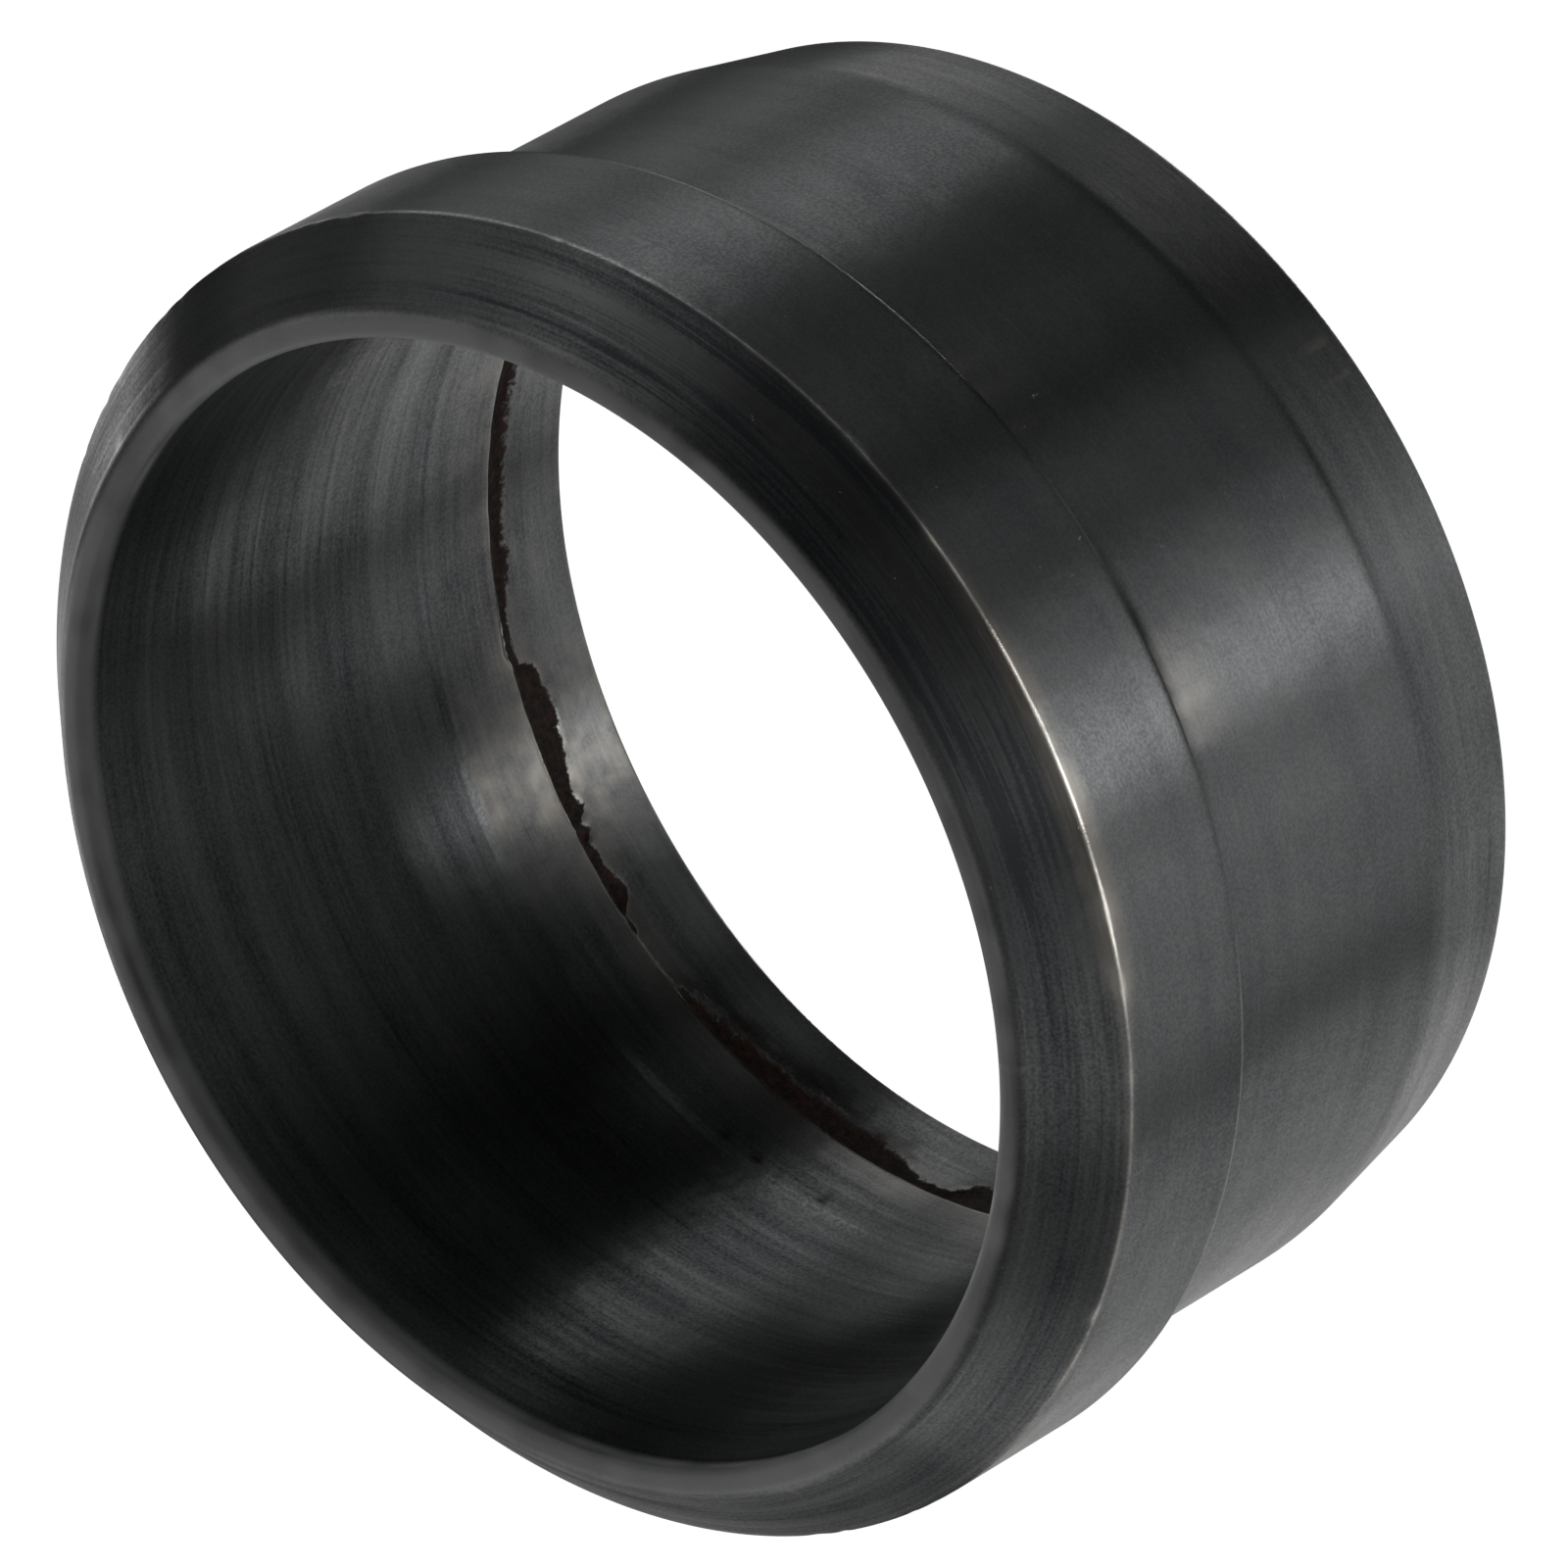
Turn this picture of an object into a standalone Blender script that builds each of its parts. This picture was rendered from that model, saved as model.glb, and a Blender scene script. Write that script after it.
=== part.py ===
# Bite ring of a compression fitting for a 20 mm hydraulic tube, turned in one piece.
# Metres, +Z along the ring's axis. It stands on its nose, the cutting end, at Z = 0,
# and the nut's 45 degree cone is at the top.

import math

import bmesh
import bpy
from mathutils import Matrix, Vector

# Inside: what the tube slides through
TUBE_DIAMETER = 0.0200
BORE_CLEARANCE = 0.00005        # all round the tube in the bore
EDGE_CLEARANCE = 0.00002        # all round the tube at the two cutting edges
LEAD_IN = 0.00008               # chamfer at the bore's nut end

# Widths across the wall
NOSE_FACE_WIDTH = 0.00049       # flat ring that the part stands on
COLLAR_STEP = 0.00060           # how far the collar stands out of the body
NUT_FACE_WIDTH = 0.00037        # end face between the lead-in and the cone

# Lengths along the axis, from the nose up
NOSE_LENGTH = 0.00244
BODY_LENGTH = 0.00553
COLLAR_WIDTH = 0.00290

# Slopes, as degrees from the axis
NOSE_ANGLE = 11.0
SHOULDER_ANGLE = 75.0
NUT_CONE_ANGLE = 45.0

# Cutting edges inside the nose, from the front up
FRONT_BEVEL = 0.00022           # front face falls back to the first cutting edge
FRONT_LAND = 0.00137
LAND_RELIEF = 0.00004           # the front land opens by this behind its edge
GROOVE_FLOOR = 0.00026
GROOVE_DEPTH = 0.00028          # outwards from the bore
GROOVE_RAMP_ANGLE = 55.0        # run-out of the groove on the front land's side
SECOND_LAND = 0.00170

# Edge roundings
CUTTING_EDGE_RADIUS = 0.00002
FACE_EDGE_RADIUS = 0.00004
NUT_FACE_RADIUS = 0.00040       # the end face rolls over into the cone
CONE_EDGE_RADIUS = 0.00014
COLLAR_EDGE_RADIUS = 0.00018
SHOULDER_ROOT_RADIUS = 0.00025
NOSE_BEND_RADIUS = 0.00200
NOSE_TIP_RADIUS = 0.00012
GROOVE_ROOT_RADIUS = 0.00010

RING_STEPS = 96
MERGE_DISTANCE = 0.000001       # points closer than this are the same point
ROUNDING_SHARE = 0.45           # most that a rounding takes of the side beside it
STRAIGHT = 1.0                  # degrees of turn that need no rounding

FINISH = {"base_color": (0.028, 0.031, 0.032, 1.0), "metallic": 0.9, "roughness": 0.42}


def clear_scene():
    for obj in list(bpy.data.objects):
        bpy.data.objects.remove(obj, do_unlink=True)


def rise(run, angle):
    # height along the axis gained over a radial run on a slope of this angle
    return run / math.tan(math.radians(angle))


def ring_corners():
    # Corners of the section as (radius, height, rounding, arc segments): down the
    # outside, in across the nose, up the bore and out over the nut face.
    bore = TUBE_DIAMETER / 2 + BORE_CLEARANCE
    edge = TUBE_DIAMETER / 2 + EDGE_CLEARANCE
    front_face = edge + FRONT_BEVEL
    nose_tip = front_face + NOSE_FACE_WIDTH
    body = nose_tip + NOSE_LENGTH * math.tan(math.radians(NOSE_ANGLE))
    collar = body + COLLAR_STEP
    lead_in = bore + LEAD_IN
    nut_face = lead_in + NUT_FACE_WIDTH
    groove = bore + GROOVE_DEPTH

    nose_top = NOSE_LENGTH
    shoulder_root = nose_top + BODY_LENGTH
    shoulder_top = shoulder_root + rise(COLLAR_STEP, SHOULDER_ANGLE)
    cone_start = shoulder_top + COLLAR_WIDTH
    length = cone_start + rise(collar - nut_face, NUT_CONE_ANGLE)

    land_end = FRONT_BEVEL + FRONT_LAND
    land_end_radius = edge + LAND_RELIEF
    ramp_end = land_end + rise(groove - land_end_radius, GROOVE_RAMP_ANGLE)
    second_edge = ramp_end + GROOVE_FLOOR
    bore_start = second_edge + SECOND_LAND
    bore_step = bore - edge

    outside = [
        (nut_face, length, NUT_FACE_RADIUS, 4),
        (collar, cone_start, CONE_EDGE_RADIUS, 3),
        (collar, shoulder_top, COLLAR_EDGE_RADIUS, 3),
        (body, shoulder_root, SHOULDER_ROOT_RADIUS, 3),
        (body, nose_top, NOSE_BEND_RADIUS, 3),
        (nose_tip, 0.0, NOSE_TIP_RADIUS, 3),
    ]
    cutting_edges = [
        (front_face, 0.0, CUTTING_EDGE_RADIUS, 1),
        (edge, FRONT_BEVEL, CUTTING_EDGE_RADIUS, 1),
        (land_end_radius, land_end, FACE_EDGE_RADIUS, 2),
        (groove, ramp_end, GROOVE_ROOT_RADIUS, 2),
        (groove, second_edge, GROOVE_ROOT_RADIUS, 2),
        (edge, second_edge, CUTTING_EDGE_RADIUS, 1),
    ]
    bore_side = [
        (edge, bore_start, 0.0, 0),
        (bore, bore_start + bore_step, 0.0, 0),
        (bore, length - LEAD_IN, FACE_EDGE_RADIUS, 1),
        (lead_in, length, FACE_EDGE_RADIUS, 1),
    ]
    return outside + cutting_edges + bore_side


def corner_arc(before, corner, after, rounding, segments):
    # points of the arc that rounds one corner, its tangents kept on the two sides
    arriving = (corner - before).normalized()
    leaving = (after - corner).normalized()
    turn = arriving.angle_signed(leaving)
    if rounding <= 0.0 or abs(turn) < math.radians(STRAIGHT):
        return [corner]
    shortest_side = min((corner - before).length, (after - corner).length)
    tangent = min(rounding * math.tan(abs(turn) / 2), ROUNDING_SHARE * shortest_side)
    radius = tangent / math.tan(abs(turn) / 2)
    start = corner - arriving * tangent
    # angle_signed counts clockwise turns as positive
    side = Vector((arriving.y, -arriving.x)) * math.copysign(1.0, turn)
    centre = start + side * radius
    points = []
    for step in range(segments + 1):
        swing = Matrix.Rotation(-turn * step / segments, 2)
        points.append(centre + swing @ (start - centre))
    return points


def ring_section():
    corners = ring_corners()
    places = [Vector((radius, height)) for radius, height, _, _ in corners]
    section = []
    for index, (_, _, rounding, segments) in enumerate(corners):
        before = places[index - 1]
        after = places[(index + 1) % len(places)]
        section += corner_arc(before, places[index], after, rounding, segments)
    return section


def section_mesh(name, section):
    mesh = bpy.data.meshes.new(name)
    builder = bmesh.new()
    verts = [builder.verts.new((point.x, 0.0, point.y)) for point in section]
    for index, vert in enumerate(verts):
        builder.edges.new((verts[index - 1], vert))
    builder.to_mesh(mesh)
    builder.free()
    return mesh


def turn_about_axis(obj):
    screw = obj.modifiers.new("turned", "SCREW")
    screw.axis = "Z"
    screw.angle = 2 * math.pi
    screw.steps = RING_STEPS
    screw.render_steps = RING_STEPS
    screw.use_merge_vertices = True
    screw.merge_threshold = MERGE_DISTANCE
    screw.use_smooth_shade = True
    # flats stay flat and only the edge roundings blend
    shading = obj.modifiers.new("even_shading", "WEIGHTED_NORMAL")
    shading.keep_sharp = True


def blackened_steel():
    material = bpy.data.materials.new("blackened_steel")
    material.use_nodes = True
    shader = material.node_tree.nodes["Principled BSDF"]
    shader.inputs["Base Color"].default_value = FINISH["base_color"]
    shader.inputs["Metallic"].default_value = FINISH["metallic"]
    shader.inputs["Roughness"].default_value = FINISH["roughness"]
    return material


def build_ring():
    collection = bpy.data.collections.new("bite_ring")
    bpy.context.scene.collection.children.link(collection)
    ring = bpy.data.objects.new("bite_ring", section_mesh("bite_ring", ring_section()))
    collection.objects.link(ring)
    ring.data.materials.append(blackened_steel())
    turn_about_axis(ring)
    return ring


clear_scene()
build_ring()
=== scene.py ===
import math
import bpy
import numpy as np
from mathutils import Matrix, Vector


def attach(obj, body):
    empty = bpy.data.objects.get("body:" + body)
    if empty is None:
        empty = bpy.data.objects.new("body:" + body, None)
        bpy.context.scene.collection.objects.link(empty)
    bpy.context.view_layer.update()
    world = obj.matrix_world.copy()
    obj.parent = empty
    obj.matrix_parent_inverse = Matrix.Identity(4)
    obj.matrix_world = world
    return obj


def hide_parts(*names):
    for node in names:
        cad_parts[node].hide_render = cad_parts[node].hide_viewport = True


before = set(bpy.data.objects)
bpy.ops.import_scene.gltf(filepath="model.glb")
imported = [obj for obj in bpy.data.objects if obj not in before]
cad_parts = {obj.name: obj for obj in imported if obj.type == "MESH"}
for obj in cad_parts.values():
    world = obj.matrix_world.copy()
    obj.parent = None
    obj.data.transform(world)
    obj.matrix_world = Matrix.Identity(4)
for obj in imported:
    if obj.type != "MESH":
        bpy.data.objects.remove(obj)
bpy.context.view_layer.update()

mm = 0.001

biteRing = {
    # sizes in millimetres and slopes in degrees from the axis, the same as in the CAD part
    "bore": 10.05, "cuttingEdge": 10.02, "leadIn": 0.08,
    "noseFace": 0.49, "collarStep": 0.60, "nutFace": 0.37,
    "noseLength": 2.44, "bodyLength": 5.53, "collarWidth": 2.90,
    "noseAngle": 11.0, "shoulderAngle": 75.0, "coneAngle": 45.0,
    "frontBevel": 0.22, "frontLand": 1.37, "landRelief": 0.04,
    "grooveFloor": 0.26, "grooveDepth": 0.28, "rampAngle": 55.0, "secondLand": 1.70,
    "stepsRound": 750,
    # a long flat gets extra rows this close to its edges, so that wear and dirt keep to the edges
    "longFlat": 1.3, "edgeRows": [0.06, 0.15, 0.35],

    # what use, rust and careless handling did to it, with painted shade and painted highlights among it, in
    # millimetres and in degrees round the ring, where 0 faces the camera and 90 is the side at -X; each list
    # starts with the degrees

    # how far the rusty groove reaches down the front land, and over what length it fades
    "grooveReach": [(0, 0.45, 0.3), (40, 0.6, 0.3), (75, 0.4, 0.3), (110, 0.5, 0.3), (122, 0.75, 0.30),
                    (128, 0.80, 0.25), (130, 0.30, 0.15), (134, 0.26, 0.20), (137, 0.55, 0.3),
                    (147, 0.62, 0.4), (158, 0.45, 0.5), (165, 0.30, 0.4), (167, 0.05, 0.15),
                    (171, 0.08, 0.12), (172.5, 0.04, 0.12), (173.5, 0.16, 0.12), (175, 0.10, 0.12),
                    (176, 0.32, 0.12), (177, 0.46, 0.15), (178.5, 0.40, 0.15), (180, 0.28, 0.12),
                    (181.5, 0.32, 0.12), (183, 0.20, 0.10), (184, 0.42, 0.12), (185.2, 0.20, 0.10),
                    (186.3, 0.50, 0.12), (187.5, 0.32, 0.10), (189.5, 0.40, 0.12), (191, 0.52, 0.12),
                    (193, 0.60, 0.12), (199, 0.64, 0.15), (201.3, 0.56, 0.15), (202.4, 0.15, 0.15),
                    (207, 0.18, 0.15), (212, 0.34, 0.25), (225, 0.42, 0.3), (250, 0.4, 0.3),
                    (280, 0.55, 0.3), (310, 0.35, 0.3), (335, 0.5, 0.3), (360, 0.45, 0.3)],
    "grooveRagged": 0.12, "rustDepth": 0.04,
    "edgeChip": {"at": 204.0, "up": 0.12, "before": 2.2, "after": 5.0},
    "edgeWander": 0.012,
    "dents": 40, "dentDepth": 0.012, "dentReach": 0.10, "dentSeed": 12,
    # edges that are worn bare: corner, width, and share of bare steel, or the list that gives it; the cone
    # edge's list also paints its highlight, strongest at 0 to 30 degrees
    "wornEdges": [("nutEdge", 0.12, 0.15), ("coneEdge", 0.11, "coneEdgeWornAndGlint"), ("firstEdge", 0.05, 0.5),
                  ("secondEdge", 0.05, 0.4), ("secondEdge", 0.5, 0.35), ("collarEdge", 0.10, 0.05)],
    "coneEdgeWornAndGlint": [(0, 1.8), (12, 2.5), (28, 2.2), (36, 0.50), (90, 0.3), (120, 0.9), (180, 0.7),
                     (235, 0.5), (255, 0.0), (300, 0.0), (312, 0.10), (345, 0.22), (353, 0.9), (360, 1.8)],
    # the two lands inside, lighter where rubbed bare, with a painted highlight at 184 to 196 degrees
    "landWornAndGlint": [(0, 0.3), (125, 0.1), (160, 0.0), (178, 0.0), (184, 0.45), (190, 0.8), (196, 0.5),
                 (204, 0.1), (240, 0.1), (360, 0.3)],
    # how strongly the tool's lines show on the cone, in the bore and on the nose
    "coneLines": [(0, 4.4), (12, 3.6), (24, 1.1), (40, 0.7), (200, 1.0), (295, 1.0), (315, 2.0),
                  (335, 4.4), (360, 4.4)],
    "boreLines": 0.65, "noseLines": 0.25,
    # corners darkened with painted shade: corner, how far below it, width, and the list of its strength
    "shadedCorners": [("shoulderRoot", 0.40, 0.10, "shoulderShade"), ("collarEdge", 0.0, 0.13, "shoulderShade"),
                     ("noseBend", 0.0, 0.11, "bendShade"), ("coneEdge", 0.14, 0.08, "coneEdgeShade")],
    "shoulderShade": [(0, 0.7), (4, 1.3), (12, 1.2), (18, 0.6), (26, 0.12), (60, 0.1), (100, 0.2),
                     (300, 0.15), (345, 0.15), (352, 0.25), (360, 0.7)],
    "bendShade": [(0, 0.6), (10, 0.55), (20, 0.2), (28, 0.0), (200, 0.1), (330, 0.1), (350, 0.3), (360, 0.6)],
    "coneEdgeShade": [(0, 0.0), (50, 0.0), (70, 0.7), (100, 0.8), (125, 0.0), (360, 0.0)],
    # dark stain that spreads from the groove over the front land
    "stain": [(0, 0.0), (118, 0.2), (124, 0.8), (129, 0.5), (133, 0.4), (140, 0.9), (160, 0.8), (168, 0.3),
              (176, 0.2), (184, 0.45), (190, 0.35), (202, 0.25), (215, 0.3), (240, 0.2), (360, 0.0)],
    # nicks and scratches: height, size, and how bright, or how dark below zero; the pale patches 7.3 to 7.6
    # mm up, just below the shoulder, are painted highlights
    "marks": [(137.5, 3.50, 0.14, -1.0), (146, 3.55, 0.14, -0.9), (150, 3.62, 0.10, -0.6),
              (143, 3.66, 0.08, -0.5), (351, 0.47, 0.09, 1.0), (354.5, 0.52, 0.09, 1.0),
              (251, 12.15, 0.16, 0.5), (35.8, 12.31, 0.07, 0.6), (327.5, 12.31, 0.07, 0.5),
              (99, 12.2, 0.08, 0.4), (65, 12.3, 0.06, 0.5), (7, 7.32, 0.30, 0.25), (9.5, 7.32, 0.30, 0.45),
              (12, 7.34, 0.30, 0.45), (14.5, 7.38, 0.30, 0.3), (341, 7.56, 0.2, 0.3), (338, 7.58, 0.2, 0.25),
              (345, 7.54, 0.15, 0.2)],
    # uneven patterns: patches once round the ring, patch height in millimetres, and random seed
    "patches": {"ragged": (110, 0.35, 3), "raggedFine": (300, 0.12, 4), "rustDepth": (160, 0.2, 5),
                "wander": (200, 1.0, 6), "wornAndGlint": (220, 0.5, 8), "rubbedAndGlint": (300, 0.16, 14),
                "faced": (120, 0.3, 9), "dirtAndShade": (40, 1.0, 10), "stain": (70, 0.45, 15),
                "stainFine": (240, 0.15, 16)},
}


def degreesRound(x, y):
    # 0 faces the camera, and 90 is the side at -X
    return (-90.0 - np.degrees(np.arctan2(y, x))) % 360.0


def smooth(low, high, value):
    t = np.clip((value - low) / (high - low), 0.0, 1.0)
    return t * t * (3.0 - 2.0 * t)


def byDegrees(degrees, table):
    # the value of a list of (degrees, value) at each point
    return np.interp(degrees, *zip(*table))


def uneven(values, kind, degrees, along):
    # soft random values, -1 to 1, that close on themselves once round
    cellsRound, cell, seed = values["patches"][kind]
    cellsUp = 256                     # more than any pattern needs, so that none repeats
    grid = np.random.default_rng(seed).uniform(-1.0, 1.0, (cellsRound, cellsUp))
    u = degrees / 360.0 * cellsRound
    v = along / cell + 40.0           # starts well above the grid's first row
    iu, iv = np.floor(u).astype(int), np.floor(v).astype(int)
    fu, fv = u - iu, v - iv
    fu, fv = fu * fu * (3 - 2 * fu), fv * fv * (3 - 2 * fv)
    here, beyond = iu % cellsRound, (iu + 1) % cellsRound
    low, high = iv % cellsUp, (iv + 1) % cellsUp
    lower = grid[here, low] * (1 - fu) + grid[beyond, low] * fu
    upper = grid[here, high] * (1 - fu) + grid[beyond, high] * fu
    return lower * (1 - fv) + upper * fv


def ringCorners(values):
    # each corner: radius, height, rounding, rows in the rounding, rows on the way to the next corner
    def rise(run, angle):
        return run / math.tan(math.radians(angle))

    edge, bore = values["cuttingEdge"], values["bore"]
    front = edge + values["frontBevel"]
    tip = front + values["noseFace"]
    body = tip + values["noseLength"] * math.tan(math.radians(values["noseAngle"]))
    collar = body + values["collarStep"]
    lead = bore + values["leadIn"]
    nut = lead + values["nutFace"]
    shoulder = values["noseLength"] + values["bodyLength"]
    shoulderTop = shoulder + rise(values["collarStep"], values["shoulderAngle"])
    coneStart = shoulderTop + values["collarWidth"]
    length = coneStart + rise(collar - nut, values["coneAngle"])
    groove = bore + values["grooveDepth"]
    landEnd = values["frontBevel"] + values["frontLand"]
    rampEnd = landEnd + rise(groove - edge - values["landRelief"], values["rampAngle"])
    second = rampEnd + values["grooveFloor"]
    boreStart = second + values["secondLand"]
    corners = {
        "nutEdge": (nut, length, 0.40, 5, 1),
        "coneEdge": (collar, coneStart, 0.14, 5, 1),
        "collarEdge": (collar, shoulderTop, 0.18, 4, 1),
        "shoulderRoot": (body, shoulder, 0.25, 4, 3),
        "noseBend": (body, values["noseLength"], 2.0, 4, 1),
        "noseTip": (tip, 0.0, 0.12, 3, 1),
        "frontFace": (front, 0.0, 0.02, 1, 1),
        "firstEdge": (edge, values["frontBevel"], 0.02, 2, 25),
        "grooveEnd": (edge, second, 0.0, 0, 0),
        "grooveRoot": (groove, second, 0.03, 2, 2),
        "secondEdge": (edge, second + 0.001, 0.02, 2, 3),
        "landEnd": (edge, boreStart, 0.0, 0, 0),
        "boreStart": (bore, boreStart + 0.12, 0.0, 0, 4),
        "boreEnd": (bore, length - values["leadIn"], 0.04, 1, 0),
        "leadIn": (lead, length, 0.04, 1, 1),
    }
    return corners, second, length


def roundedCorner(before, corner, after, rounding, rows):
    arriving, leaving = (corner - before).normalized(), (after - corner).normalized()
    turn = arriving.angle_signed(leaving)
    if rounding <= 0.0 or abs(turn) < 0.01:
        return [corner]
    shortest = min((corner - before).length, (after - corner).length)
    tangent = min(rounding * math.tan(abs(turn) / 2), 0.45 * shortest)
    radius = tangent / math.tan(abs(turn) / 2)
    start = corner - arriving * tangent
    centre = start + Vector((arriving.y, -arriving.x)) * math.copysign(radius, turn)
    return [centre + Matrix.Rotation(-turn * row / rows, 2) @ (start - centre) for row in range(rows + 1)]


def rowsBetween(values, start, end, count):
    # points on a straight stretch of the section
    way = (end - start).length
    guards = values["edgeRows"] if way > values["longFlat"] and count < 10 else []
    margin = guards[-1] if guards else 0.0
    inner = [margin + (way - 2 * margin) * (row + 1) / (count + 1) for row in range(count)]
    reaches = guards + inner + [way - guard for guard in reversed(guards)]
    return [start.lerp(end, reach / way) for reach in reaches]


def ringRows(values):
    # the section as rows of (radius, height): down the outside, up the inside and over the nut face
    corners, second, length = ringCorners(values)
    places = [Vector(corner[:2]) for corner in corners.values()]
    pieces = []
    for index, corner in enumerate(corners.values()):
        after = places[(index + 1) % len(places)]
        pieces.append(roundedCorner(places[index - 1], places[index], after, corner[2], corner[3]))
    rows = []
    for index, corner in enumerate(corners.values()):
        following = pieces[(index + 1) % len(pieces)]
        rows += pieces[index] + rowsBetween(values, pieces[index][-1], following[0], corner[4])
    return np.array([tuple(row) for row in rows]), corners, second, length


def cutGroove(values, degrees, radius, height, second):
    # the front land and the ragged groove above it are one wall
    edge = values["cuttingEdge"]
    wall = (radius < edge + 0.005) & (height > values["frontBevel"] + 0.01) & (height < second - 0.002)
    at, reaches, fades = zip(*values["grooveReach"])
    reach, fade = np.interp(degrees, at, reaches), np.interp(degrees, at, fades)
    ragged = uneven(values, "ragged", degrees, height) * 0.55
    ragged = ragged + uneven(values, "raggedFine", degrees, height) * 0.45
    floorLine = second - reach - values["grooveRagged"] * ragged * np.clip(reach / 0.3, 0.15, 1.0)
    inGroove = smooth(-0.10, 0.22, height - floorLine)
    deep = values["rustDepth"] * inGroove * (1.0 + 0.35 * uneven(values, "rustDepth", degrees, height))
    deep *= np.clip(reach / 0.35, 0.1, 1.0)
    relief = values["landRelief"] * np.clip((height - values["frontBevel"]) / values["frontLand"], 0, 1)
    return np.where(wall, radius + relief + deep, radius), wall, reach, fade, floorLine


def chipSecondEdge(values, degrees, radius, height, second):
    # the second cutting edge wanders and is chipped in one place
    chip = values["edgeChip"]
    offset = degrees - chip["at"]
    rising, falling = smooth(-chip["before"], 0, offset), np.exp(-np.abs(offset) / chip["after"])
    lift = chip["up"] * np.where(offset < 0, rising, falling)
    wander = values["edgeWander"] * uneven(values, "wander", degrees, height * 0) + lift
    inner = values["bore"] + values["grooveDepth"] + 0.01
    nearEdge = (radius < inner) & (height > second - 0.01) & (height < second + 1.4)
    return np.where(nearEdge, height + wander * smooth(1.4, 0.0, height - second), height)


def dentConeEdge(values, degrees, radius, height, fromEdge):
    # small dents from handling along the edge between cone and collar
    random = np.random.default_rng(values["dentSeed"])
    for dent in range(values["dents"]):
        where, wide = random.uniform(0, 360), random.uniform(0.35, 1.1)
        off = np.abs((degrees - where + 180) % 360 - 180)
        dip = values["dentDepth"] * random.uniform(0.3, 1.0) * np.exp(-(off / wide) ** 2)
        dip = dip * np.exp(-(fromEdge / values["dentReach"]) ** 2)
        radius, height = radius - dip, height - dip
    return radius, height


def fromCorner(rows, corner, down=0.0):
    # each row's distance from a corner, or from a point that far below it
    return np.hypot(rows[:, 0] - corner[0], rows[:, 1] - corner[1] + down)[None, :]


def wornAndGlintLayer(values, rows, corners, degrees, radius, height, second):
    # bare steel along the edges, most where cone and collar meet, and on the rubbed lands, with painted
    # highlights on the cone's edge, the lands and below the shoulder
    wornAndGlint = np.zeros_like(radius)
    for corner, width, amount in values["wornEdges"]:
        share = byDegrees(degrees, values[amount]) if amount in values else amount
        reach = width * (0.8 + 0.4 * share)               # wider where it is worn more
        wornAndGlint += share * np.exp(-(fromCorner(rows, corners[corner]) / reach) ** 2)
    inside = (radius < values["cuttingEdge"] + 0.2) & (height > values["frontBevel"])
    rubbedAndGlint = inside & (height < second + values["secondLand"])
    streaky = 0.6 + 0.6 * uneven(values, "rubbedAndGlint", degrees, height)
    wornAndGlint += byDegrees(degrees, values["landWornAndGlint"]) * rubbedAndGlint * streaky
    return np.clip(wornAndGlint * (0.75 + 0.5 * uneven(values, "wornAndGlint", degrees, height)), 0, 1)


def paintedShadeLayer(values, rows, corners, degrees, radius, height):
    # painted shade behind the collar, at the nose's bend and beside the cone's edge
    dirtAndShade = np.zeros_like(radius)
    for corner, down, width, table in values["shadedCorners"]:
        amount = byDegrees(degrees, values[table])
        patchy = 0.8 + 0.4 * uneven(values, "dirtAndShade", degrees, height * 0)
        dirtAndShade += amount * np.exp(-(fromCorner(rows, corners[corner], down) / width) ** 2) * patchy
    return dirtAndShade


def linedLayer(values, rows, corners, degrees, length):
    # the tool left plain lines in the bore, on the cone and on the nose
    rowR, rowZ = rows[:, 0], rows[:, 1]
    edge = values["cuttingEdge"]
    inBore = (rowR < edge + 0.6) & (rowZ < length - 0.02) & (rowZ > 0.01)
    onNose = (rowZ < corners["noseBend"][1]) & (rowR > edge + 0.7)
    onCone = (rowZ > corners["coneEdge"][1]) & (rowZ < length - 0.10) & (rowR > values["bore"] + 0.3)
    lined = np.maximum(np.where(inBore, values["boreLines"], 0.0), np.where(onNose, values["noseLines"], 0.0))
    return np.where(onCone[None, :], byDegrees(degrees, values["coneLines"]), lined[None, :])


def coatLayers(values, rows, corners, second, length, degrees, radius, height, groove):
    # how rusty, worn, marked by the tool, thinly coated and dirty each point is; the wear also carries
    # painted highlights and the dirt painted shade
    wall, reach, fade, floorLine = groove
    rust = np.where(wall, np.clip((height - floorLine + fade * 0.6) / fade, -0.2, 1.25), 0.0)
    roof = (height > second - 0.01) & (height < second + 0.02)      # under the second cutting edge
    roof &= (radius > values["cuttingEdge"] + 0.03) & (radius < 10.5)
    rust = np.where(roof, 1.0, rust)
    wornAndGlint = wornAndGlintLayer(values, rows, corners, degrees, radius, height, second)
    dirtAndShade = paintedShadeLayer(values, rows, corners, degrees, radius, height)
    # the nut face was turned clean, so its coat is thin
    nut = corners["nutEdge"][0]
    nutRow = smooth(nut + 0.06, nut - 0.14, rows[:, 0]) * (rows[:, 1] > length - 0.25)
    thin = nutRow[None, :] * (0.85 + 0.3 * uneven(values, "faced", degrees, height))
    # the stain fades down the front land in clouds
    cloudy = uneven(values, "stain", degrees, height) * 0.5
    cloudy = cloudy + uneven(values, "stainFine", degrees, height) * 0.5
    spread = smooth(-0.75, 0.15, height - (second - reach) + 0.5 * cloudy)
    dirtAndShade = np.maximum(dirtAndShade, np.where(wall, spread * byDegrees(degrees, values["stain"]), 0.0))
    for where, up, size, bright in values["marks"]:
        across = ((degrees - where + 180) % 360 - 180) * radius * math.pi / 180
        spot = np.exp(-(np.hypot(across, height - up) / size) ** 4)
        dirtAndShade, wornAndGlint = np.maximum(dirtAndShade, -bright * spot), np.maximum(wornAndGlint, bright * spot)
    lined = linedLayer(values, rows, corners, degrees, length)
    return {"rust": rust, "wornAndGlint": wornAndGlint, "lined": lined, "thin": thin, "dirtAndShade": dirtAndShade}


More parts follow.
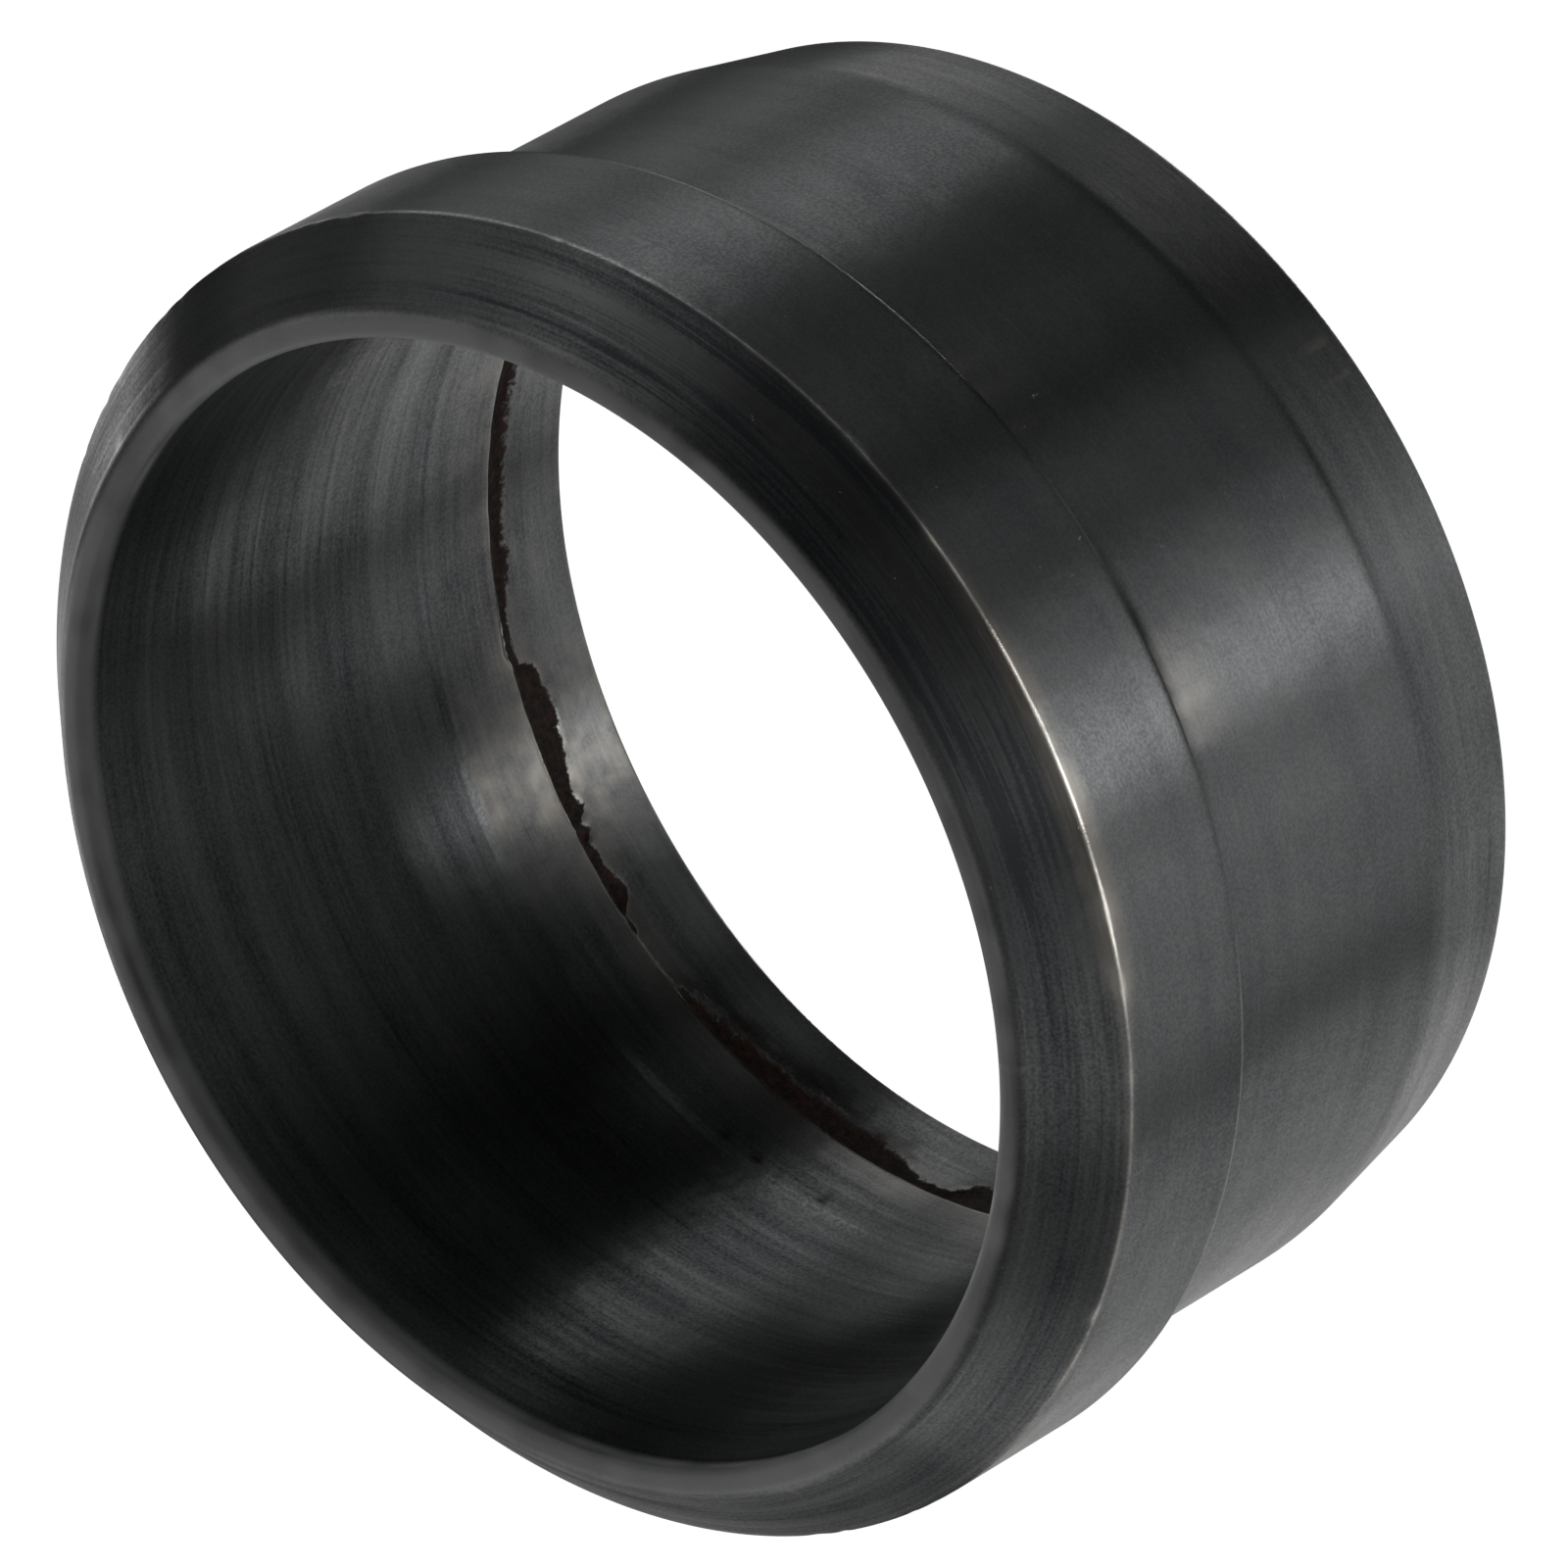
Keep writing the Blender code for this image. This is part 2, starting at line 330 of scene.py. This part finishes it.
def ringMesh(values):
    rows, corners, second, length = ringRows(values)
    steps, count = values["stepsRound"], len(rows)
    turn = np.arange(steps) / steps * 2 * math.pi
    radius = np.repeat(rows[:, 0][None, :], steps, 0)
    height = np.repeat(rows[:, 1][None, :], steps, 0)
    degrees = np.repeat(degreesRound(np.cos(turn), np.sin(turn))[:, None], count, 1)
    radius, *groove = cutGroove(values, degrees, radius, height, second)
    height = chipSecondEdge(values, degrees, radius, height, second)
    fromEdge = fromCorner(rows, corners["coneEdge"])
    radius, height = dentConeEdge(values, degrees, radius, height, fromEdge)

    x = radius * np.cos(turn)[:, None] * mm
    y = radius * np.sin(turn)[:, None] * mm
    places = np.stack([x, y, height * mm], -1).reshape(-1, 3)
    ring, row = np.arange(steps)[:, None], np.arange(count)[None, :]
    ringNext, rowNext = (ring + 1) % steps, (row + 1) % count
    around = [ring * count + row, ring * count + rowNext, ringNext * count + rowNext, ringNext * count + row]
    mesh = bpy.data.meshes.new("biteRing")
    mesh.from_pydata(places.tolist(), [], np.stack(around, -1).reshape(-1, 4).tolist())
    mesh.shade_smooth()
    layers = coatLayers(values, rows, corners, second, length, degrees, radius, height, groove)
    for name, amounts in layers.items():
        layer = mesh.attributes.new(name, "FLOAT", "POINT")
        layer.data.foreach_set("value", amounts.reshape(-1).astype(np.float32))
    print("ring mesh:", count, "rows,", len(mesh.polygons) * 2, "triangles")
    return mesh


# one function turns sRGB hex into linear colour
def linear(hexColour):
    parts = [int(hexColour[k:k + 2], 16) / 255 for k in (1, 3, 5)]
    return tuple(c / 12.92 if c <= 0.04045 else ((c + 0.055) / 1.055) ** 2.4 for c in parts) + (1.0,)


# one function adds a node: its settings and constant inputs, then its links
def addNode(tree, kind, settings=None, links=None):
    node = tree.nodes.new(kind)
    for key, value in (settings or {}).items():
        if isinstance(key, str) and hasattr(node, key) and key not in node.inputs:
            setattr(node, key, value)
        else:
            node.inputs[key].default_value = value
    for key, socket in (links or {}).items():
        tree.links.new(socket, node.inputs[key])
    return node


ringFinish = {
    "oxide": "#7b7e80", "thinOxide": "#9c9fa0", "thickOxide": "#4e5256", "wornSteelAndGlint": "#c8c4bd",
    "faced": "#d4d6d9", "rust": "#3a261d", "darkRust": "#0a0706", "dirtAndShade": "#191715",
    "roughness": 0.35, "facedRoughness": 0.55, "rustRoughness": 0.8, "facedMatte": 1.0,
    "anisotropy": 0.85,
    # millimetres: tool marks, wider bands left by the feed, cloudy oxide, grain of the coat; the marks
    # of a finishing cut are finer, about 0.05, and are drawn twice as coarse so that they show
    "toolMark": 0.10, "band": 0.75, "cloud": 1.3, "grain": 0.055, "rustPatch": 0.13,
    "markHeight": 0.0016, "waviness": 10.0,
    # how much each pattern lightens and darkens the coat
    "fineLines": 0.8, "bandLines": 1.3, "lineTone": 1.8, "cloudTone": 0.08, "grainTone": 0.16,
    "facedTone": 0.3,
}


def blackenedTurnedSteel(finish):
    # turned steel with a black-oxide coat and a film of oil: dark and satin, light drawn out along the
    # axis by the tool marks that run round it, cloudy where the coat is uneven, bright on worn edges and
    # painted highlights, and darkened by painted shade in some corners
    material = bpy.data.materials.new("blackenedTurnedSteel")
    material.use_nodes = True
    tree = material.node_tree
    shader = tree.nodes["Principled BSDF"]
    lined = addNode(tree, "ShaderNodeAttribute", {"attribute_name": "lined"})
    wornAndGlint = addNode(tree, "ShaderNodeAttribute", {"attribute_name": "wornAndGlint"})
    rusty = addNode(tree, "ShaderNodeAttribute", {"attribute_name": "rust"})
    thin = addNode(tree, "ShaderNodeAttribute", {"attribute_name": "thin"})
    dirtyAndShaded = addNode(tree, "ShaderNodeAttribute", {"attribute_name": "dirtAndShade"})

    # millimetres round the axis: outward direction, and the way along the section
    place = addNode(tree, "ShaderNodeTexCoord")
    inMm = addNode(tree, "ShaderNodeVectorMath", {"operation": "SCALE", "Scale": 1 / mm},
                   {0: place.outputs["Object"]})
    level = addNode(tree, "ShaderNodeVectorMath", {"operation": "MULTIPLY", 1: (1, 1, 0)},
                    {0: inMm.outputs[0]})
    radius = addNode(tree, "ShaderNodeVectorMath", {"operation": "LENGTH"}, {0: level.outputs[0]})
    outward = addNode(tree, "ShaderNodeVectorMath", {"operation": "NORMALIZE"}, {0: level.outputs[0]})
    upAxis = addNode(tree, "ShaderNodeSeparateXYZ", {}, {0: inMm.outputs[0]})
    along = addNode(tree, "ShaderNodeMath", {"operation": "SUBTRACT"},
                    {0: upAxis.outputs["Z"], 1: radius.outputs["Value"]})
    around = addNode(tree, "ShaderNodeSeparateXYZ", {}, {0: outward.outputs[0]})
    turned = addNode(tree, "ShaderNodeCombineXYZ", {},
                     {0: around.outputs["X"], 1: around.outputs["Y"], 2: along.outputs[0]})

    # long and short tool marks, bands, clouds and grain
    markWay = addNode(tree, "ShaderNodeVectorMath",
                      {"operation": "MULTIPLY", 1: (2.4, 2.4, 1 / finish["toolMark"])},
                      {0: turned.outputs[0]})
    marks = addNode(tree, "ShaderNodeTexNoise", {"Scale": 1.0, "Detail": 2.0, "Roughness": 0.65},
                    {"Vector": markWay.outputs[0]})
    shortWay = addNode(tree, "ShaderNodeVectorMath",
                       {"operation": "MULTIPLY", 1: (9, 9, 1 / finish["toolMark"])},
                       {0: turned.outputs[0]})
    shortMarks = addNode(tree, "ShaderNodeTexNoise", {"Scale": 1.7, "Detail": 1.0, "Roughness": 0.6},
                         {"Vector": shortWay.outputs[0]})
    bandWay = addNode(tree, "ShaderNodeVectorMath",
                      {"operation": "MULTIPLY", 1: (0.8, 0.8, 1 / finish["band"])},
                      {0: turned.outputs[0]})
    bands = addNode(tree, "ShaderNodeTexNoise", {"Scale": 1.0, "Detail": 3.0, "Roughness": 0.65},
                    {"Vector": bandWay.outputs[0]})
    clouds = addNode(tree, "ShaderNodeTexNoise",
                     {"Scale": 1 / finish["cloud"], "Detail": 3.0, "Roughness": 0.62},
                     {"Vector": inMm.outputs[0]})
    grain = addNode(tree, "ShaderNodeTexNoise", {"Scale": 1 / finish["grain"], "Detail": 0.0},
                    {"Vector": inMm.outputs[0]})

    # how thin the coat looks: lines of the tool, clouds and grain round a middle of 0.5
    lineShare = addNode(tree, "ShaderNodeMath", {"operation": "MULTIPLY_ADD", 1: 0.6, 2: 0.2},
                        {0: lined.outputs["Fac"]})
    fineLines = addNode(tree, "ShaderNodeMath", {"operation": "MULTIPLY", 1: finish["fineLines"]},
                        {0: marks.outputs["Fac"]})
    lines = addNode(tree, "ShaderNodeMath", {"operation": "MULTIPLY_ADD", 1: finish["bandLines"]},
                    {0: bands.outputs["Fac"], 2: fineLines.outputs[0]})
    middle = (finish["fineLines"] + finish["bandLines"]) / 2
    lineTone = addNode(tree, "ShaderNodeMath", {"operation": "SUBTRACT", 1: middle}, {0: lines.outputs[0]})
    lineTone = addNode(tree, "ShaderNodeMath", {"operation": "MULTIPLY"},
                       {0: lineTone.outputs[0], 1: lineShare.outputs[0]})
    cloudTone = addNode(tree, "ShaderNodeMapRange",
                        {"From Min": 0.3, "From Max": 0.7, "To Min": -finish["cloudTone"],
                         "To Max": finish["cloudTone"]}, {"Value": clouds.outputs["Fac"]})
    grainTone = addNode(tree, "ShaderNodeMapRange",
                        {"From Min": 0.3, "From Max": 0.7, "To Min": -finish["grainTone"],
                         "To Max": finish["grainTone"]}, {"Value": grain.outputs["Fac"]})
    tone = addNode(tree, "ShaderNodeMath", {"operation": "MULTIPLY_ADD", 1: finish["lineTone"]},
                   {0: lineTone.outputs[0], 2: cloudTone.outputs[0]})
    tone = addNode(tree, "ShaderNodeMath", {"operation": "ADD"},
                   {0: tone.outputs[0], 1: grainTone.outputs[0]})
    tone = addNode(tree, "ShaderNodeMath", {"operation": "ADD", 1: 0.5}, {0: tone.outputs[0]})
    tone = addNode(tree, "ShaderNodeMath", {"operation": "MULTIPLY_ADD", 1: finish["facedTone"]},
                   {0: thin.outputs["Fac"], 2: tone.outputs[0]})
    oxide = addNode(tree, "ShaderNodeValToRGB", {}, {"Fac": tone.outputs[0]})
    oxide.color_ramp.elements[0].color = linear(finish["thickOxide"])
    oxide.color_ramp.elements[1].color = linear(finish["thinOxide"])
    oxide.color_ramp.elements.new(0.5).color = linear(finish["oxide"])
    # dirt, and painted shade in the corners, darken the coat
    soiledAndShaded = addNode(tree, "ShaderNodeMix", {"data_type": "RGBA", 7: linear(finish["dirtAndShade"])},
                     {0: dirtyAndShaded.outputs["Fac"], 6: oxide.outputs["Color"]})

    # bare steel shows on the edges in broken lines; the same pale colour paints the highlights on the cone's
    # edge, the lands and below the shoulder
    brokenWearAndGlint = addNode(tree, "ShaderNodeMapRange",
                         {"From Min": 0.25, "From Max": 0.6, "To Min": 0.35, "To Max": 1.0},
                         {"Value": clouds.outputs["Fac"]})
    wearAndGlint = addNode(tree, "ShaderNodeMath", {"operation": "MULTIPLY"},
                   {0: wornAndGlint.outputs["Fac"], 1: brokenWearAndGlint.outputs[0]})
    bareSteelAndGlint = addNode(tree, "ShaderNodeMix", {"data_type": "RGBA", 7: linear(finish["wornSteelAndGlint"])},
                        {0: wearAndGlint.outputs[0], 6: soiledAndShaded.outputs[2]})
    # the faced end is lighter, as its marks run every way and scatter the light
    facedSteel = addNode(tree, "ShaderNodeMix", {"data_type": "RGBA", 7: linear(finish["faced"])},
                         {0: thin.outputs["Fac"], 6: bareSteelAndGlint.outputs[2]})

    # rust: brown and dull, eaten in patches
    patchy = addNode(tree, "ShaderNodeTexNoise",
                     {"Scale": 1 / finish["rustPatch"], "Detail": 4.0, "Roughness": 0.7},
                     {"Vector": inMm.outputs[0]})
    rustEdge = addNode(tree, "ShaderNodeMath", {"operation": "MULTIPLY_ADD", 1: 2.0, 2: -1.0},
                       {0: patchy.outputs["Fac"]})
    rustSum = addNode(tree, "ShaderNodeMath", {"operation": "ADD"},
                      {0: rusty.outputs["Fac"], 1: rustEdge.outputs[0]})
    rustMask = addNode(tree, "ShaderNodeMapRange", {"From Min": 0.35, "From Max": 0.70},
                       {"Value": rustSum.outputs[0]})
    redness = addNode(tree, "ShaderNodeMapRange", {"From Min": 0.42, "From Max": 0.64},
                      {"Value": patchy.outputs["Fac"]})
    rustTone = addNode(tree, "ShaderNodeMix",
                       {"data_type": "RGBA", 6: linear(finish["darkRust"]), 7: linear(finish["rust"])},
                       {0: redness.outputs[0]})
    colour = addNode(tree, "ShaderNodeMix", {"data_type": "RGBA"},
                     {0: rustMask.outputs[0], 6: facedSteel.outputs[2], 7: rustTone.outputs[2]})
    tree.links.new(colour.outputs[2], shader.inputs["Base Color"])

    # rust and the faced end are nearly matte
    matte = addNode(tree, "ShaderNodeMath", {"operation": "MULTIPLY", 1: finish["facedMatte"]},
                    {0: thin.outputs["Fac"]})
    matte = addNode(tree, "ShaderNodeMath", {"operation": "MAXIMUM"},
                    {0: matte.outputs[0], 1: rustMask.outputs[0]})
    metallic = addNode(tree, "ShaderNodeMapRange", {"To Min": 1.0, "To Max": 0.15},
                       {"Value": matte.outputs[0]})
    tree.links.new(metallic.outputs[0], shader.inputs["Metallic"])

    # the coat is duller where it is thick, worn steel is smoother, rust is rough
    roughness = finish["roughness"]
    dull = addNode(tree, "ShaderNodeMapRange", {"To Min": roughness + 0.07, "To Max": roughness - 0.07},
                   {"Value": tone.outputs[0]})
    polished = addNode(tree, "ShaderNodeMix", {"data_type": "FLOAT", 3: roughness - 0.08},
                       {0: wearAndGlint.outputs[0], 2: dull.outputs[0]})
    faced = addNode(tree, "ShaderNodeMix", {"data_type": "FLOAT", 3: finish["facedRoughness"]},
                    {0: thin.outputs["Fac"], 2: polished.outputs[0]})
    rough = addNode(tree, "ShaderNodeMix", {"data_type": "FLOAT", 3: finish["rustRoughness"]},
                    {0: rustMask.outputs[0], 2: faced.outputs[0]})
    tree.links.new(rough.outputs[0], shader.inputs["Roughness"])

    # marks of the tool, a slight waviness under them, and the grain, which turns to pits in the rust
    heights = addNode(tree, "ShaderNodeMath", {"operation": "ADD"},
                      {0: marks.outputs["Fac"], 1: shortMarks.outputs["Fac"]})
    heights = addNode(tree, "ShaderNodeMath", {"operation": "MULTIPLY_ADD", 1: finish["waviness"]},
                      {0: clouds.outputs["Fac"], 2: heights.outputs[0]})
    pitted = addNode(tree, "ShaderNodeMath", {"operation": "MULTIPLY_ADD", 1: 8.0, 2: 0.5},
                     {0: rustMask.outputs[0]})
    heights = addNode(tree, "ShaderNodeMath", {"operation": "MULTIPLY_ADD"},
                      {0: grain.outputs["Fac"], 1: pitted.outputs[0], 2: heights.outputs[0]})
    marksBump = addNode(tree, "ShaderNodeBump", {"Strength": 1.0, "Distance": finish["markHeight"] * mm},
                        {"Height": heights.outputs[0]})
    tree.links.new(marksBump.outputs[0], shader.inputs["Normal"])

    # the marks run round the axis, so light spreads along it
    shader.inputs["Anisotropic"].default_value = finish["anisotropy"]
    shader.inputs["Anisotropic Rotation"].default_value = 0.25
    tangent = addNode(tree, "ShaderNodeTangent", {"direction_type": "RADIAL", "axis": "Z"})
    tree.links.new(tangent.outputs["Tangent"], shader.inputs["Tangent"])
    print("ring finish:", len(tree.nodes), "nodes")
    return material


ring = bpy.data.objects.new("biteRing", ringMesh(biteRing))
bpy.context.scene.collection.objects.link(ring)
ring.data.materials.append(blackenedTurnedSteel(ringFinish))
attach(ring, "root")
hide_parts("bite_ring")

# pale card that the ring stands on, in metres
studioFloor = {"size": 3.0, "colour": "#ffffff", "roughness": 0.9, "glow": 1.0}


def paleFloor(floor):
    # matt white card, lit from within so that it stays even, and kept out of the ring's reflections
    mesh = bpy.data.meshes.new("studioFloor")
    half = floor["size"] / 2
    mesh.from_pydata([(-half, -half, 0), (half, -half, 0), (half, half, 0), (-half, half, 0)],
                     [], [(0, 1, 2, 3)])
    material = bpy.data.materials.new("paleCard")
    material.use_nodes = True
    shader = material.node_tree.nodes["Principled BSDF"]
    shader.inputs["Base Color"].default_value = linear(floor["colour"])
    shader.inputs["Roughness"].default_value = floor["roughness"]
    shader.inputs["Emission Color"].default_value = linear(floor["colour"])
    shader.inputs["Emission Strength"].default_value = floor["glow"]
    mesh.materials.append(material)
    card = bpy.data.objects.new("studioFloor", mesh)
    bpy.context.scene.collection.objects.link(card)
    card.visible_glossy = False
    card.visible_diffuse = False
    card.visible_shadow = False
    return card


paleFloor(studioFloor)
print("floor:", studioFloor["size"], "m of pale card")

# soft round lamps, all as far away: degrees round from the camera's side, degrees up, width in
# metres, watts
studioLights = {
    "streakFront": (20, -10, 0.08, 0.18),
    "streakFrontLeft": (40, -5, 0.08, 0.085),
    "fillFrontLeft": (45, 0, 0.13, 0.03),
    "fillFront": (5, -5, 0.08, 0.065),
    "fillFrontRight": (-15, -5, 0.08, 0.03),
    "stripRight": (-40, -5, 0.13, 0.03),
    "stripFarRight": (-60, 0, 0.08, 0.03),
    "rimRight": (-80, -5, 0.08, 0.04),
    "rimRightLow": (-80, -25, 0.13, 0.04),
    "rimRightBack": (-105, -15, 0.13, 0.06),
    "topRight": (-100, 45, 0.18, 0.025),
    "topRightBack": (-140, 35, 0.18, 0.025),
    "coneRight": (-135, -25, 0.08, 0.02),
    "coneRightBack": (-155, -15, 0.05, 0.015),
    "boreStreak": (-170, 10, 0.08, 0.05),
    "backLow": (-170, -30, 0.13, 0.055),
    "noseRight": (-135, -55, 0.08, 0.015),
    "underRight": (-145, -70, 0.08, 0.13),
    "boreWide": (155, 20, 0.27, 0.075),
    "backLeftLow": (165, -25, 0.13, 0.015),
    "underBackLeft": (150, -45, 0.18, 0.07),
    "underLeft": (120, -55, 0.13, 0.02),
    "underFrontLeft": (70, -75, 0.27, 0.08),
    "wideLeftBack": (115, -10, 0.18, 0.065),
    "wideLeft": (95, -20, 0.18, 0.06),
    "stripLeft": (70, 0, 0.18, 0.025),
    "stripLeftLow": (60, -15, 0.13, 0.05),
    "topLeft": (70, 40, 0.13, 0.015),
    "topLeftBack": (105, 20, 0.27, 0.015),
    "overhead": (180, 80, 0.18, 0.02),
}
# metres away, millimetres above the floor that they aim at, and their colour
studioLamp = {"away": 0.30, "aim": 6.0, "colour": "#fffdfb"}


def softLight(name, around, up, width, watts, lamp):
    light = bpy.data.lights.new(name, "AREA")
    light.shape = "DISK"
    light.size = width
    light.energy = watts
    light.color = linear(lamp["colour"])[:3]
    place = bpy.data.objects.new(name, light)
    bpy.context.scene.collection.objects.link(place)
    a, e = math.radians(around), math.radians(up)
    towards = Vector((-math.sin(a) * math.cos(e), -math.cos(a) * math.cos(e), math.sin(e)))
    place.location = Vector((0, 0, lamp["aim"] * mm)) + towards * lamp["away"]
    place.rotation_euler = towards.to_track_quat("Z", "Y").to_euler()
    place.visible_camera = False
    return place


for name, values in studioLights.items():
    softLight(name, *values, studioLamp)
print("studio:", len(studioLights), "lamps round the ring")

# white behind the ring for the camera, and black for the ring's reflections between the lamps
studioBackdrop = {"seen": "#ffffff", "reflected": "#000000"}


def plainBackdrop(backdrop):
    world = bpy.data.worlds.new("studio")
    bpy.context.scene.world = world
    world.use_nodes = True
    tree = world.node_tree
    rays = addNode(tree, "ShaderNodeLightPath")
    mixed = addNode(tree, "ShaderNodeMix", {"data_type": "RGBA", 6: linear(backdrop["reflected"]),
                                            7: linear(backdrop["seen"])}, {0: rays.outputs["Is Camera Ray"]})
    tree.links.new(mixed.outputs[2], tree.nodes["Background"].inputs["Color"])


plainBackdrop(studioBackdrop)

# the photograph's view: a 416 mm lens on a 36 mm frame, 41.4 degrees above the floor, rolled over;
# millimetres from the nut face's centre to the middle of the picture, and from there to the camera
photoCamera = {"lens": 416.25, "frame": 36.0, "height": 41.384, "roll": 119.63,
               "right": -4.185, "down": 2.082, "away": 298.5}


def addCamera(values, length):
    data = bpy.data.cameras.new("photoCamera")
    data.lens = values["lens"]
    data.sensor_width = values["frame"]
    data.clip_start = 0.01
    camera = bpy.data.objects.new("photoCamera", data)
    bpy.context.scene.collection.objects.link(camera)
    up, roll = math.radians(values["height"]), math.radians(values["roll"])
    forward = Vector((0, math.cos(up), -math.sin(up)))
    level, raised = Vector((1, 0, 0)), Vector((0, math.sin(up), math.cos(up)))
    right = level * math.cos(roll) - raised * math.sin(roll)
    down = -level * math.sin(roll) - raised * math.cos(roll)
    nutCentre = Vector((0, 0, length))
    place = nutCentre - right * values["right"] - down * values["down"] - forward * values["away"]
    turned = Matrix((right, -down, -forward)).transposed()
    camera.matrix_world = Matrix.Translation(place * mm) @ turned.to_4x4()
    bpy.context.scene.camera = camera


addCamera(photoCamera, ringCorners(biteRing)[2])
bpy.context.scene.view_settings.view_transform = "Standard"
print("camera:", photoCamera["lens"], "mm lens,", photoCamera["away"], "mm away")

bpy.context.view_layer.update()
